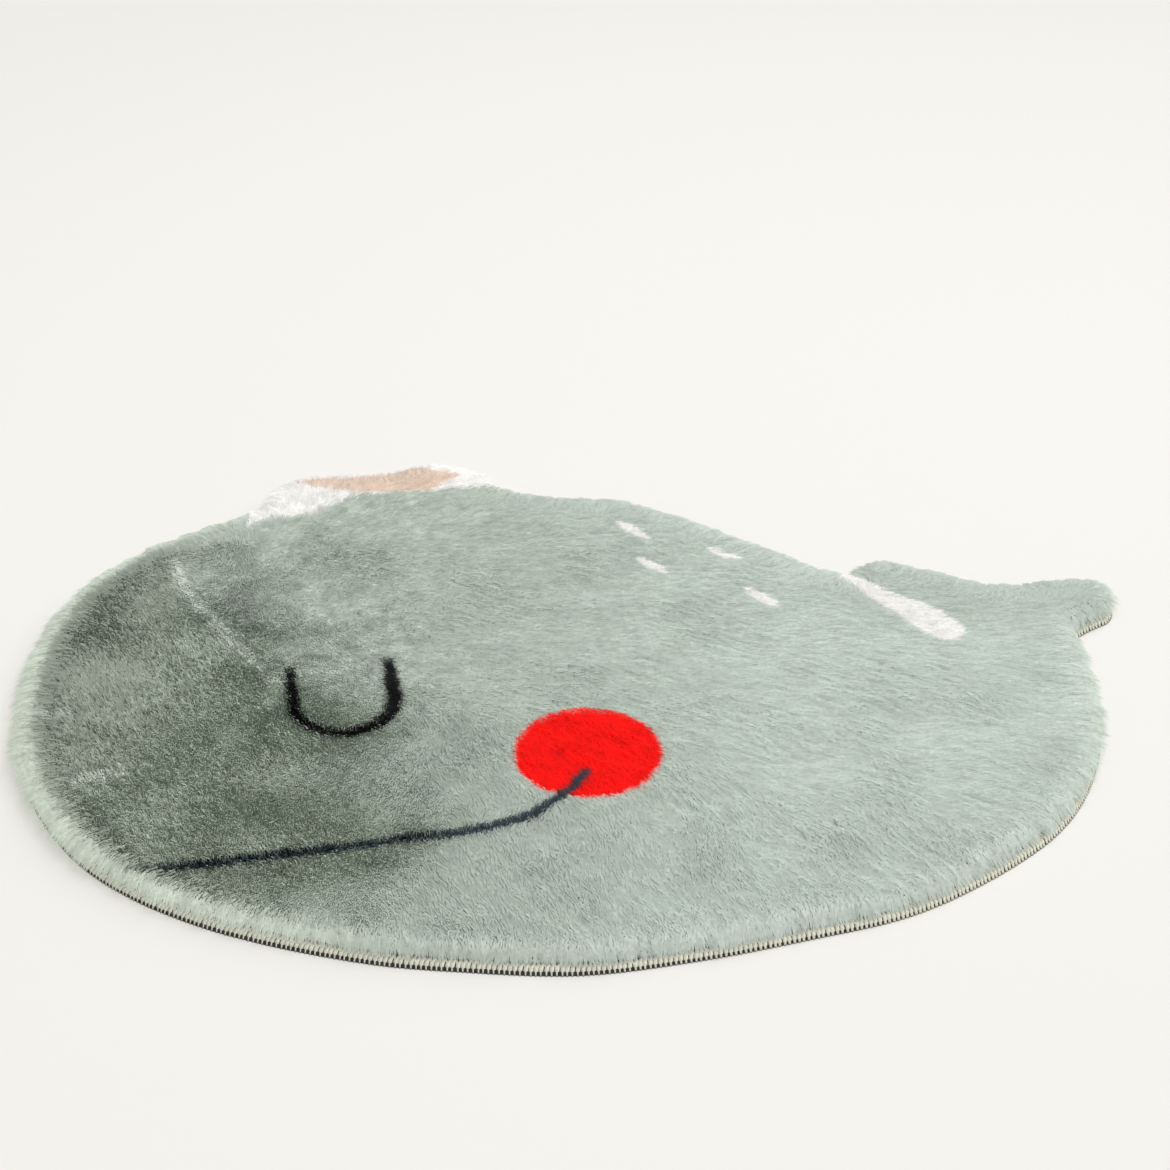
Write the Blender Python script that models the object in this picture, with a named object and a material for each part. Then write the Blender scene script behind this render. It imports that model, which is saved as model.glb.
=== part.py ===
"""Whale-shaped rug for a child's room.

A printed long-pile cloth lies on a felt backing, and an overlock of thick thread
binds the two together all the way round. The whale swims towards -X, its tail is
at +X and its spout at +Y, and the rug lies flat on z = 0, centred on the origin.

The three pieces follow one cut line, the outer face of the overlock. Sections across
the rim are measured from it: "out" is the distance outwards, and minus is inwards.
"""

import math

import bmesh
import bpy
import numpy as np
from mathutils import Vector
from mathutils.geometry import delaunay_2d_cdt

# ---------------------------------------------------------------- driving sizes, metres
MM = 0.001

FELT_TOP = 3.0 * MM             # thickness of the felt backing
LAYERS_IN = 1.4 * MM            # felt and cloth stop this far inside the cut line
THREAD = 0.9 * MM               # thickness of the overlock's thread
THREAD_TOP = 6.0 * MM
OVER_WIDTH = 8.0 * MM           # reach of the stitches over the cloth
UNDER_WIDTH = 6.0 * MM          # and under the felt
CLOTH_BOTTOM = 3.3 * MM         # woven ground of the pile cloth
CLOTH_TOP = 4.8 * MM
GAP = 0.3 * MM                  # between touching pieces

PILE_HEIGHT = 20.0 * MM         # surface of the fur above the floor
PILE_LUMP = 1.4 * MM            # how far the surface rises and sinks
ROOT_IN = 0.9 * MM              # the fur starts this far inside the stitches
ROOT_TOP = 6.8 * MM             # and clears them at this height
TIP_HEIGHT = 12.0 * MM          # tips of the rim's locks where they stand up
TIP_DROOP = 0.2                 # a tip sinks by this share of its reach past its root
SHOULDER_HEIGHT = 17.0 * MM
SHOULDER_IN = 4.0 * MM          # rounding of the rim, inwards from the tips
CROWN_IN = 13.0 * MM

LOCKS = 240                     # locks of fur round the rim, a tip and a valley each
LOCK_DEPTH = 5.0 * MM           # the deepest valleys, and no more than most of a lock's width
LOCK_WANDER = 1.2 * MM          # unevenness of the tips, in and out
LOCK_RISE = 0.7 * MM            # and up and down
TURN_RADIUS = 60.0 * MM         # in bends the rim's points sit closer, by this radius
SURFACE_PITCH = 30.0 * MM       # spacing of the points on the fur's surface

CREASE_DEPTH = 3.0 * MM         # parting across the forehead, where the pile was folded
CREASE_HALF_WIDTH = 12.0 * MM
CREASE_PITCH = 16.0 * MM

# Cut line, anticlockwise from the middle of the front, in millimetres.
# x, y: outer face of the overlock. hang: how far the fur's tips reach past it.
CUT_LINE = (
    # x, y, hang
    (3, -457, -5),          # belly
    (105, -439, -5),
    (206, -411, -5),
    (308, -376, -4),
    (409, -308, -2),
    (470, -247, 1),
    (510, -177, 4),
    (538, -80, 4),          # rump
    (542, 20, 4),
    (541, 80, 3),           # under the tail
    (560, 101, 3),
    (588, 122, 4),
    (595, 152, 4),          # right fluke
    (583, 180, 5),
    (535, 181, 5),
    (481, 172, 5),          # between the flukes
    (437, 179, 5),
    (394, 202, 5),
    (341, 225, 5),          # left fluke
    (315, 216, 4),
    (302, 194, 4),          # mouth of the gap in front of the tail
    (277, 201, 5),
    (198, 261, 6),
    (103, 329, 6),
    (45, 360, 6),
    (-57, 373, 6),          # back
    (-103, 392, 6),
    (-124, 424, 6),         # spout
    (-190, 452, 6),
    (-250, 433, 6),
    (-340, 421, 6),
    (-371, 398, 6),
    (-390, 345, 7),
    (-455, 297, 8),         # forehead
    (-512, 250, 8),
    (-563, 170, 8),
    (-586, 80, 8),
    (-589, -10, 9),         # snout
    (-573, -128, 9),
    (-535, -227, 8),        # chin
    (-459, -324, 5),
    (-352, -391, 2),
    (-200, -440, -3),
    (-99, -453, -5),
)

# Parting of the pile on the forehead, in millimetres
CREASE = (
    # x, y
    (-474, 226),
    (-437, 118),
    (-390, 74),
    (-318, 5),
)

# Swells of the fur's surface
SWELLS = (
    # heading in degrees, wavelength in millimetres, phase, weight
    (12, 410, 0.6, 0.30),
    (75, 290, 2.1, 0.28),
    (140, 175, 4.4, 0.22),
    (48, 118, 1.3, 0.20),
)

FELT_COLOUR = (0.035, 0.037, 0.038, 1.0)
FUR_COLOUR = (0.37, 0.45, 0.37, 1.0)
THREAD_COLOUR = (0.70, 0.69, 0.56, 1.0)


# ---------------------------------------------------------------- the cut line
def smooth_loop(rows, steps=24):
    """Points of a closed centripetal spline through the rows, whose pace x and y set."""
    rows = np.array(rows, float)
    points = []
    for i in range(len(rows)):
        four = rows.take(range(i - 1, i + 3), axis=0, mode="wrap")
        pace = [math.dist(a[:2], b[:2]) ** 0.5 for a, b in zip(four, four[1:])]
        knots = np.cumsum([0.0] + pace)
        spans = (
            (knots[:3], knots[1:]),
            (knots[:2], knots[2:]),
            (knots[1:2], knots[2:3]),
        )
        for t in np.linspace(knots[1], knots[2], steps, endpoint=False):
            level = four
            for left, right in spans:
                share = ((t - left) / (right - left))[:, None]
                level = level[:-1] * (1 - share) + level[1:] * share
            points.append(level[0])
    return np.array(points)


def rim_line(count):
    """Points, outward directions and hangs at count places, closer together in bends."""
    dense = smooth_loop(CUT_LINE) * MM
    step = np.roll(dense, -1, axis=0)[:, :2] - dense[:, :2]
    heading = np.arctan2(step[:, 1], step[:, 0])
    turn = (np.roll(heading, -1) - heading + math.pi) % (2 * math.pi) - math.pi
    weight = np.hypot(*step.T) + TURN_RADIUS * abs(turn)
    along = np.concatenate(([0.0], np.cumsum(weight)))
    wanted = np.linspace(0, along[-1], count, endpoint=False)
    closed = np.vstack((dense, dense[:1]))
    x, y, hang = (np.interp(wanted, along, column) for column in closed.T)
    line = np.stack((x, y), axis=1)
    across = np.roll(line, -1, axis=0) - np.roll(line, 1, axis=0)
    across /= np.hypot(*across.T)[:, None]
    outward = np.stack((across[:, 1], -across[:, 0]), axis=1)
    return line, outward, hang


def fur_height(x, y):
    """Height of the fur's surface: slow swells, and the trough of the parting."""
    swell = 0.0
    for heading, wavelength, phase, share in SWELLS:
        angle = math.radians(heading)
        along = x * math.cos(angle) + y * math.sin(angle)
        swell += share * math.sin(2 * math.pi * along / (wavelength * MM) + phase)
    nearest = min(distance_to_run(x, y, a, b) for a, b in zip(CREASE, CREASE[1:]))
    trough = math.exp(-((1.6 * nearest / CREASE_HALF_WIDTH) ** 2))
    return PILE_HEIGHT + PILE_LUMP * swell - CREASE_DEPTH * trough


def distance_to_run(x, y, start, end):
    """Distance from a point to the straight run between two points given in millimetres."""
    ax, ay, bx, by = (value * MM for value in (*start, *end))
    run = (bx - ax) ** 2 + (by - ay) ** 2
    share = ((x - ax) * (bx - ax) + (y - ay) * (by - ay)) / run
    share = min(max(share, 0.0), 1.0)
    return math.hypot(x - ax - share * (bx - ax), y - ay - share * (by - ay))


# ---------------------------------------------------------------- mesh helpers
def add_ring(bm, line, outward, out, height):
    """A ring of vertices at a distance out of the line; out and height may vary round it."""
    spots = line + outward * np.reshape(out, (-1, 1))
    heights = np.broadcast_to(height, len(line))
    return [bm.verts.new((x, y, z)) for (x, y), z in zip(spots, heights)]


def bridge(bm, rings):
    """Faces between each ring and the next, out and up when the rings run anticlockwise."""
    for low, high in zip(rings, rings[1:]):
        for i in range(len(low)):
            j = (i + 1) % len(low)
            bm.faces.new((low[i], low[j], high[j], high[i]))


def add_object(name, bm, colour, roughness):
    bmesh.ops.triangulate(bm, faces=[face for face in bm.faces if len(face.verts) > 4])
    bmesh.ops.recalc_face_normals(bm, faces=bm.faces)
    mesh = bpy.data.meshes.new(name)
    bm.to_mesh(mesh)
    bm.free()
    material = bpy.data.materials.new(name)
    material.use_nodes = True
    shader = material.node_tree.nodes["Principled BSDF"]
    shader.inputs["Base Color"].default_value = colour
    shader.inputs["Roughness"].default_value = roughness
    mesh.materials.append(material)
    piece = bpy.data.objects.new(name, mesh)
    bpy.context.collection.objects.link(piece)
    return piece


# ---------------------------------------------------------------- the pieces
def make_backing():
    """Felt sheet, thinner at its rim underneath, where the overlock's threads pass."""
    line, outward, _ = rim_line(LOCKS)
    step_out = -(UNDER_WIDTH + 2 * GAP)
    bm = bmesh.new()
    rings = [
        add_ring(bm, line, outward, step_out, 0.0),
        add_ring(bm, line, outward, step_out, THREAD + GAP),
        add_ring(bm, line, outward, -LAYERS_IN, THREAD + GAP),
        add_ring(bm, line, outward, -LAYERS_IN, FELT_TOP),
    ]
    bridge(bm, rings)
    bm.faces.new(reversed(rings[0]))
    bm.faces.new(rings[-1])
    return add_object("backing", bm, FELT_COLOUR, 0.95)


def make_overlock():
    """The stitches as one channel of thread round the rim, open towards the cloth."""
    line, outward, _ = rim_line(LOCKS)
    section = (
        # out, height
        (0.0, 0.0),
        (0.0, THREAD_TOP),
        (-OVER_WIDTH, THREAD_TOP),
        (-OVER_WIDTH, THREAD_TOP - THREAD),
        (-THREAD, THREAD_TOP - THREAD),
        (-THREAD, THREAD),
        (-UNDER_WIDTH, THREAD),
        (-UNDER_WIDTH, 0.0),
    )
    bm = bmesh.new()
    rings = [add_ring(bm, line, outward, out, height) for out, height in section]
    bridge(bm, rings + rings[:1])
    return add_object("overlock_edge", bm, THREAD_COLOUR, 0.7)


def make_pile_cloth():
    """Woven ground and its fur: a lumpy slab, with locks that reach past or short of the rim."""
    line, outward, hang = rim_line(2 * LOCKS)
    rng = np.random.default_rng(11)
    spacing = np.hypot(*(np.roll(line, -1, axis=0) - line).T)
    valley = np.tile((0.0, 1.0), LOCKS)
    depth = LOCK_DEPTH * rng.uniform(0.5, 1.0, 2 * LOCKS) * valley
    depth = np.minimum(depth, 0.7 * spacing) + rng.uniform(0, LOCK_WANDER, 2 * LOCKS)
    root_out = -(OVER_WIDTH + ROOT_IN)
    tip_out = np.maximum(hang - depth, root_out + ROOT_IN)
    tip_height = TIP_HEIGHT - TIP_DROOP * (hang - root_out)
    tip_height += rng.uniform(-LOCK_RISE, LOCK_RISE, 2 * LOCKS)
    shoulder_out = (hang + tip_out) / 2 - SHOULDER_IN
    crown_out = hang - CROWN_IN
    crown_height = [fur_height(x, y) for x, y in line + outward * crown_out[:, None]]

    bm = bmesh.new()
    rings = [
        add_ring(bm, line, outward, -LAYERS_IN, CLOTH_BOTTOM),
        add_ring(bm, line, outward, -LAYERS_IN, CLOTH_TOP),
        add_ring(bm, line, outward, root_out, CLOTH_TOP),
        add_ring(bm, line, outward, root_out, ROOT_TOP),
        add_ring(bm, line, outward, tip_out, tip_height),
        add_ring(bm, line, outward, shoulder_out, SHOULDER_HEIGHT),
        add_ring(bm, line, outward, crown_out, crown_height),
    ]
    bridge(bm, rings)
    bm.faces.new(reversed(rings[0]))
    add_surface(bm, rings[-1])
    return add_object("pile_cloth", bm, FUR_COLOUR, 0.9)


def add_surface(bm, ring):
    """The fur's top inside a ring: points on a staggered grid and along the parting."""
    rim = [vert.co.to_2d() for vert in ring]
    low, high = np.min(rim, axis=0), np.max(rim, axis=0)
    parting = crease_points()
    inner = list(parting)
    for number, y in enumerate(np.arange(low[1], high[1], SURFACE_PITCH)):
        shift = SURFACE_PITCH / 2 * (number % 2)
        for x in np.arange(low[0] + shift, high[0], SURFACE_PITCH):
            clear = min(math.dist((x, y), spot) for spot in parting) > 0.6 * SURFACE_PITCH
            if clear and inside(x, y, rim):
                inner.append((x, y))
    points = rim + [Vector(spot) for spot in inner]
    count = len(rim)
    edges = [(i, (i + 1) % count) for i in range(count)]
    spots, _, faces, _, _, _ = delaunay_2d_cdt(points, edges, [], 1, 1e-7)
    verts = list(ring)
    verts += [bm.verts.new((x, y, fur_height(x, y))) for x, y in spots[count:]]
    for face in faces:
        bm.faces.new([verts[i] for i in face])


def crease_points():
    """Three rows of points along the parting: its floor and its two banks."""
    spots = []
    for start, end in zip(CREASE, CREASE[1:]):
        ax, ay, bx, by = (value * MM for value in (*start, *end))
        length = math.dist((ax, ay), (bx, by))
        side = ((ay - by) / length, (bx - ax) / length)
        for share in np.linspace(0, 1, max(2, round(length / CREASE_PITCH)), endpoint=False):
            for bank in (-CREASE_HALF_WIDTH, 0.0, CREASE_HALF_WIDTH):
                x = ax + (bx - ax) * share + side[0] * bank
                y = ay + (by - ay) * share + side[1] * bank
                spots.append((x, y))
    return spots


def inside(x, y, rim, margin=0.3 * SURFACE_PITCH):
    """Whether a point lies within the rim and at least a margin from it."""
    crossings = 0
    for a, b in zip(rim, rim[1:] + rim[:1]):
        if math.hypot(x - a.x, y - a.y) < margin:
            return False
        if (a.y > y) != (b.y > y) and x < a.x + (y - a.y) * (b.x - a.x) / (b.y - a.y):
            crossings += 1
    return crossings % 2 == 1


def main():
    for leftover in list(bpy.data.objects):
        bpy.data.objects.remove(leftover, do_unlink=True)
    make_backing()
    make_pile_cloth()
    make_overlock()


main()
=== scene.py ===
"""Looks of the whale-shaped rug: printed long pile, felt backing and an overlocked edge.

Lengths in tables are millimetres in the rug's own frame: the whale swims towards -X,
its back is at +Y and the rug lies on z = 0. Everything else is in metres.
"""

import math

import bmesh
import bpy
import numpy as np
from mathutils import Matrix, Vector
from mathutils.kdtree import KDTree


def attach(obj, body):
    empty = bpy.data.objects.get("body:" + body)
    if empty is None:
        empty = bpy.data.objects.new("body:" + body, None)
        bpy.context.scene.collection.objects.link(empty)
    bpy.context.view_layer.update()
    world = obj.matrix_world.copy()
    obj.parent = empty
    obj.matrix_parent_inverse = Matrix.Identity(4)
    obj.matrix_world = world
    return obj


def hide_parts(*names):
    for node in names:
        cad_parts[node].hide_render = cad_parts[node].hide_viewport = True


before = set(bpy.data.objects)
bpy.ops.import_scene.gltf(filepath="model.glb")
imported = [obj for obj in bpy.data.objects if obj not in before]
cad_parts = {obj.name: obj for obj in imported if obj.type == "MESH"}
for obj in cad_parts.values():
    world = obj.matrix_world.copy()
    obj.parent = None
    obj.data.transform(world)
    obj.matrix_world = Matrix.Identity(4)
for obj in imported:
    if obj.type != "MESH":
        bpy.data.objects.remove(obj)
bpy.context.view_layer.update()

MM = 0.001

# ---------------------------------------------------------------- the rug's sections
CLOTH_TOP = 4.8 * MM            # woven ground of the pile cloth
SIDE_IN = 0.9 * MM              # the layers swell out this near to the overlock's outer face
SWELL_TOP = 4.6 * MM            # the rug's side starts to stand out past the cut edge here
SWELL_FALL = 4.2 * MM           # and stands out fully this far below
STITCH_PITCH = 4.7 * MM
ROOT_IN = 9.3 * MM              # outermost tufts, inside the overlock's outer face
PILE_HEIGHT = 19.6 * MM         # tips of the pile above the floor
UNDER_FUR_TOP = 14.5 * MM       # the dense body that the tufts stand in
RIM_WIDTH = 34.0 * MM           # the nap turns outwards over this width
ROUND_WIDTH = 24.0 * MM         # and the pile's surface rounds down over this one

TUFT_PITCH = 1.46 * MM
TUFT_WIDTH = 0.95 * MM
CLUMP_PITCH = 3.6 * MM
DENSE_RIM = 7.0 * MM            # the outermost tufts stand twice as close, over this width
ROOT_HEIGHT = 11.0 * MM         # where the tufts leave the dense body
EVEN_SHADE = 0.90               # 0 lights each tuft by its own face, 1 by the pile's surface
RIM_TILT = 15                   # degrees that the surface they are lit by leans out at the rim
FULL_LEAN = 12                  # mm that a tip lies over at lean 1, and how much less
STANDING_LEAN = 6               # that is where the pile stands up
RIDGE = (15, 4.6)               # length and width in mm of the ridges along the pile
FINE_RIDGE = (6, 2.3)
MOTTLE = (
    # size in mm, strength everywhere and where the grain shows
    (14, 0.012, 0.055),
    (6, 0.015, 0.065),
    (3, 0.012, 0.035),
)

# The pile's outermost tips, by the direction that the edge faces
RIM_TIPS = (
    # heading of the edge in degrees, reach past the cut edge and height in millimetres
    (-180, 13.0, 8.5),
    (-160, 12.0, 8.0),
    (-145, 9.0, 7.0),
    (-133, 4.5, 6.6),
    (-118, 2.2, 6.6),
    (-108, -0.5, 6.8),
    (-100, -3.0, 7.0),
    (-60, -3.4, 7.0),
    (-35, -1.0, 7.0),
    (-12, 6.0, 9.0),
    (30, 8.0, 13.0),
    (60, 8.0, 14.5),
    (95, 5.0, 14.0),
    (120, 3.0, 11.5),
    (150, 5.5, 9.5),
    (180, 13.0, 8.5),
)
TAIL_FROM = 70 * MM             # behind this the front-facing edge is the tail's underside
TAIL_REACH = 1.5 * MM           # where the tips reach at least this far past the cut edge

# How far the felt and the threads' feet stand out past the cut edge, by the same direction; where
# the dark felt stands out furthest, at the front, it is partly real felt and partly stands in for
# painted contact shadow on the floor
FEET = (
    (-180, 2.0),
    (-126, 2.0),
    (-112, 3.6),
    (-88, 3.6),
    (-74, 2.2),
    (180, 2.0),
)

# Which way the tips point and how far they lie over, between which the pile turns slowly
NAP = (
    # x, y, heading in degrees, lean
    (-520, -20, 200, 0.50),
    (-400, -230, 235, 0.45),
    (-460, 200, 205, 0.55),
    (-400, 30, 215, 0.45),
    (-260, -200, 255, 0.45),
    (-320, 300, 330, 0.65),
    (-350, 370, 480, 0.60),
    (-300, 150, 345, 0.65),
    (-180, 40, 335, 0.70),
    (-150, 330, 360, 0.85),
    (0, 60, 340, 0.85),
    (20, -330, 290, 0.75),
    (170, 200, 345, 0.95),
    (250, -120, 322, 1.00),
    (300, -300, 305, 0.85),
    (430, -60, 325, 1.00),
    (380, 130, 350, 0.95),
    (540, 150, 360, 0.85),
)
EYE_GRAIN = (-275, 20, 110)     # x, y and reach in mm: the grain is stronger round the eye
COARSE_EDGES = (0.018, 0.009)   # edges longer than these are cut in two, pass by pass,
DENSE_BODY_FROM = 0.015         # where they start above this height

# ---------------------------------------------------------------- colours and the print
# The sage's lighter and darker tones are painted light and painted shade of the nap on one dye
SAGE_PAINTED_LIGHT = (0.615, 0.682, 0.628)
SAGE_MIDDLE = (0.520, 0.582, 0.520)
SAGE_PAINTED_SHADE = (0.460, 0.530, 0.445)
PALE_MINT = (0.62, 0.68, 0.60)
PALE_STRANDS = (0.78, 0.84, 0.78)
WHITE_PILE = (0.89, 0.885, 0.865)
PINK = (0.79, 0.65, 0.545)
RED = (0.98, 0.006, 0.003)
SLATE = (0.034, 0.060, 0.076)
BLACK = (0.006, 0.007, 0.007)
WOVEN_GROUND = (0.03, 0.032, 0.033)
FELT_DARK = (0.012, 0.013, 0.014)
FELT_LIGHT = (0.055, 0.057, 0.060)
THREAD_DARK = (0.62, 0.62, 0.50)
THREAD_LIGHT = (0.86, 0.85, 0.74)
# The thread's darker colour towards the floor
THREAD_NEAR_FLOOR = (0.30, 0.28, 0.22)

EYE_CENTRE = (-248, -60)
EYE_RADIUS = 53
EYE_LEGS = 70                   # length of the U's legs above its centre
EYE_TILT = 10                   # degrees anticlockwise
EYE_HALF_STROKE = (6.6, 8.4)    # at the left leg, at the right one
CHEEK_CENTRE = (7, -147)
CHEEK_RADIUS = 75
SMILE = (
    # x, y, half width
    (-428, -334, 6.0),
    (-362, -325, 6.5),
    (-273, -308, 7.0),
    (-184, -289, 5.8),
    (-138, -282, 5.8),
    (-92, -270, 6.2),
    (-47, -250, 6.2),
    (-8, -203, 5.8),
    (4, -181, 5.2),
)
DASHES = (
    # x and y of both ends, half width
    (43, 313, 80, 273, 7.5),
    (150, 250, 185, 228, 7.0),
    (65, 230, 98, 195, 7.5),
    (185, 163, 220, 125, 8.0),
)
TAIL_GAP = (
    # x, y, radius: white between the back and the tail
    (302, 189, 8),
    (344, 142, 14),
    (384, 101, 22),
    (402, 76, 19),
)
SPOUT = (
    # x, y, radius
    (-352, 409, 3),
    (-328, 408, 12),
    (-270, 404, 21),
    (-200, 416, 31),
    (-150, 430, 5),
)
BACK_LINE = (
    # x, y: top of the sage body, under the white round the spout
    (-400, 300),
    (-371, 322),
    (-345, 325),
    (-322, 330),
    (-301, 350),
    (-278, 374),
    (-230, 385),
    (-170, 391),
    (-95, 398),
)
CREASE = (
    (-469, 223),
    (-456, 180),
    (-434, 137),
    (-404, 95),
    (-377, 52),
    (-348, 10),
    (-320, -26),
)
CREASE_HALF_WIDTH = 11
FLECKS = (
    # x and y of both ends, half width: pale strands laid the other way
    (-505, -196, -462, -178, 9),
    (-572, -79, -535, -80, 6),
    (-322, -30, -330, -60, 14),
)
STANDING_EDGE = (
    # y, x, softness: left of x the pile stands up, and there its colour is painted darker as its
    # shade
    (-375, -245, 110),
    (-325, -165, 50),
    (-275, -145, 75),
    (-225, -205, 105),
    (-200, -265, 140),
    (-175, -265, 90),
    (-115, -185, 45),
    (-60, -235, 65),
    (-15, -310, 75),
    (75, -360, 75),
    (125, -430, 45),
    (200, -445, 40),
    (270, -500, 40),
)


# ---------------------------------------------------------------- small helpers
def smooth(value, low, high):
    """0 below low, 1 above high, and a soft step between."""
    share = np.clip((value - low) / (high - low), 0, 1)
    return share * share * (3 - 2 * share)


def mixed(a, b, share):
    """a where share is 0 and b where it is 1; a and b may be colours for many points."""
    share = np.asarray(share)[..., None] if np.ndim(share) else share
    return np.asarray(a) * (1 - share) + np.asarray(b) * share


def along_run(x, y, start, end):
    """Distance of points from a straight run, and their place along it from 0 to 1."""
    (ax, ay), (bx, by) = start, end
    run = (bx - ax) ** 2 + (by - ay) ** 2
    share = np.clip(((x - ax) * (bx - ax) + (y - ay) * (by - ay)) / run, 0, 1)
    return np.hypot(x - ax - share * (bx - ax), y - ay - share * (by - ay)), share


def inside_chain(x, y, beads):
    """Depth of points inside a chain of round beads joined by tapering runs; minus is outside."""
    depth = np.full(np.shape(x), -1e3)
    for (ax, ay, ar), (bx, by, br) in zip(beads, beads[1:]):
        away, share = along_run(x, y, (ax, ay), (bx, by))
        depth = np.maximum(depth, ar + (br - ar) * share - away)
    return depth


def add_material(name):
    """A new material with its node tree and its shader."""
    material = bpy.data.materials.new(name)
    material.use_nodes = True
    tree = material.node_tree
    return material, tree, tree.nodes["Principled BSDF"]


def finish_piece(name, mesh, slot, *nodes):
    """Puts a finished mesh in the scene, on the one body that the rug has."""
    piece = bpy.data.objects.new(name, mesh)
    bpy.context.collection.objects.link(piece)
    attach(piece, "root")
    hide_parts(*nodes)
    return piece


# ---------------------------------------------------------------- the cut edge, from the frame
def cut_edge():
    """The overlock's outer top edge as points in order, anticlockwise."""
    bm = bmesh.new()
    bm.from_mesh(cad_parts["overlock_edge"].data)
    bmesh.ops.remove_doubles(bm, verts=bm.verts, dist=1e-5)
    bm.normal_update()
    top = max(vert.co.z for vert in bm.verts)
    beside = {}
    for edge in bm.edges:
        if min(vert.co.z for vert in edge.verts) < top - 1e-4:
            continue
        walls = [face for face in edge.link_faces if abs(face.normal.z) < 0.5]
        if len(walls) == 1 and min(vert.co.z for vert in walls[0].verts) < top / 4:
            a, b = edge.verts
            beside.setdefault(a, []).append(b)
            beside.setdefault(b, []).append(a)
    here = min(beside, key=lambda vert: vert.co.y)
    walk = [here]
    while True:
        steps = [vert for vert in beside[here] if vert not in walk[-2:]]
        if not steps or (len(walk) > 2 and walk[0] in steps):
            break
        here = steps[0]
        walk.append(here)
    line = np.array([vert.co.xy for vert in walk])
    bm.free()
    x, y = line.T
    if np.sum(x * np.roll(y, -1) - y * np.roll(x, -1)) < 0:
        line = line[::-1]
    return line


class Edge:
    """The cut edge at even steps, with outward directions and how far the pile hangs past it."""

    def __init__(self, corners, step=2.0 * MM):
        closed = np.vstack((corners, corners[:1]))
        along = np.concatenate(([0], np.cumsum(np.hypot(*np.diff(closed, axis=0).T))))
        self.length = along[-1]
        self.count = int(self.length / step)
        wanted = np.arange(self.count) * self.length / self.count
        self.points = np.stack([np.interp(wanted, along, c) for c in closed.T], axis=1)
        across = np.roll(self.points, -2, axis=0) - np.roll(self.points, 2, axis=0)
        across /= np.hypot(*across.T)[:, None]
        self.outward = np.stack((across[:, 1], -across[:, 0]), axis=1)
        heading = np.degrees(np.arctan2(self.outward[:, 1], self.outward[:, 0]))
        headings, hang, low = np.array(RIM_TIPS).T
        self.hang = np.interp(heading, headings, hang) * MM
        under_tail = self.points[:, 1] > TAIL_FROM
        self.hang = np.where(under_tail, np.maximum(self.hang, TAIL_REACH), self.hang)
        self.low = np.interp(heading, headings, low) * MM
        self.feet = np.interp(heading, *np.array(FEET).T) * MM
        self.broad = smooth(heading, *BROAD_FROM)
        self.tree = KDTree(self.count)
        for i, (x, y) in enumerate(self.points):
            self.tree.insert((x, y, 0), i)
        self.tree.balance()

    def depths(self, spots):
        """How far points lie inside the edge, and the edge's nearest step to each."""
        find = self.tree.find
        nearest = np.fromiter((find((x, y, 0))[1] for x, y in spots), int, len(spots))
        away = spots - self.points[nearest]
        side = -(away * self.outward[nearest]).sum(axis=1)
        return np.copysign(np.hypot(*away.T), side), nearest

    def swell(self, step, height):
        """How far the rug's side stands out past the cut edge at a height, at steps of the edge."""
        return self.feet[step] * np.clip((SWELL_TOP - height) / SWELL_FALL, 0, 1)

    def at(self, along, out):
        """Points at places along the edge, in metres, and distances outwards from it."""
        place = np.asarray(along) / self.length * self.count
        low = np.floor(place).astype(int)
        share = (place - low)[..., None]
        low, high = low % self.count, (low + 1) % self.count
        point = self.points[low] * (1 - share) + self.points[high] * share
        outward = self.outward[low] * (1 - share) + self.outward[high] * share
        return point + outward * np.asarray(out)[..., None]


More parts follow.
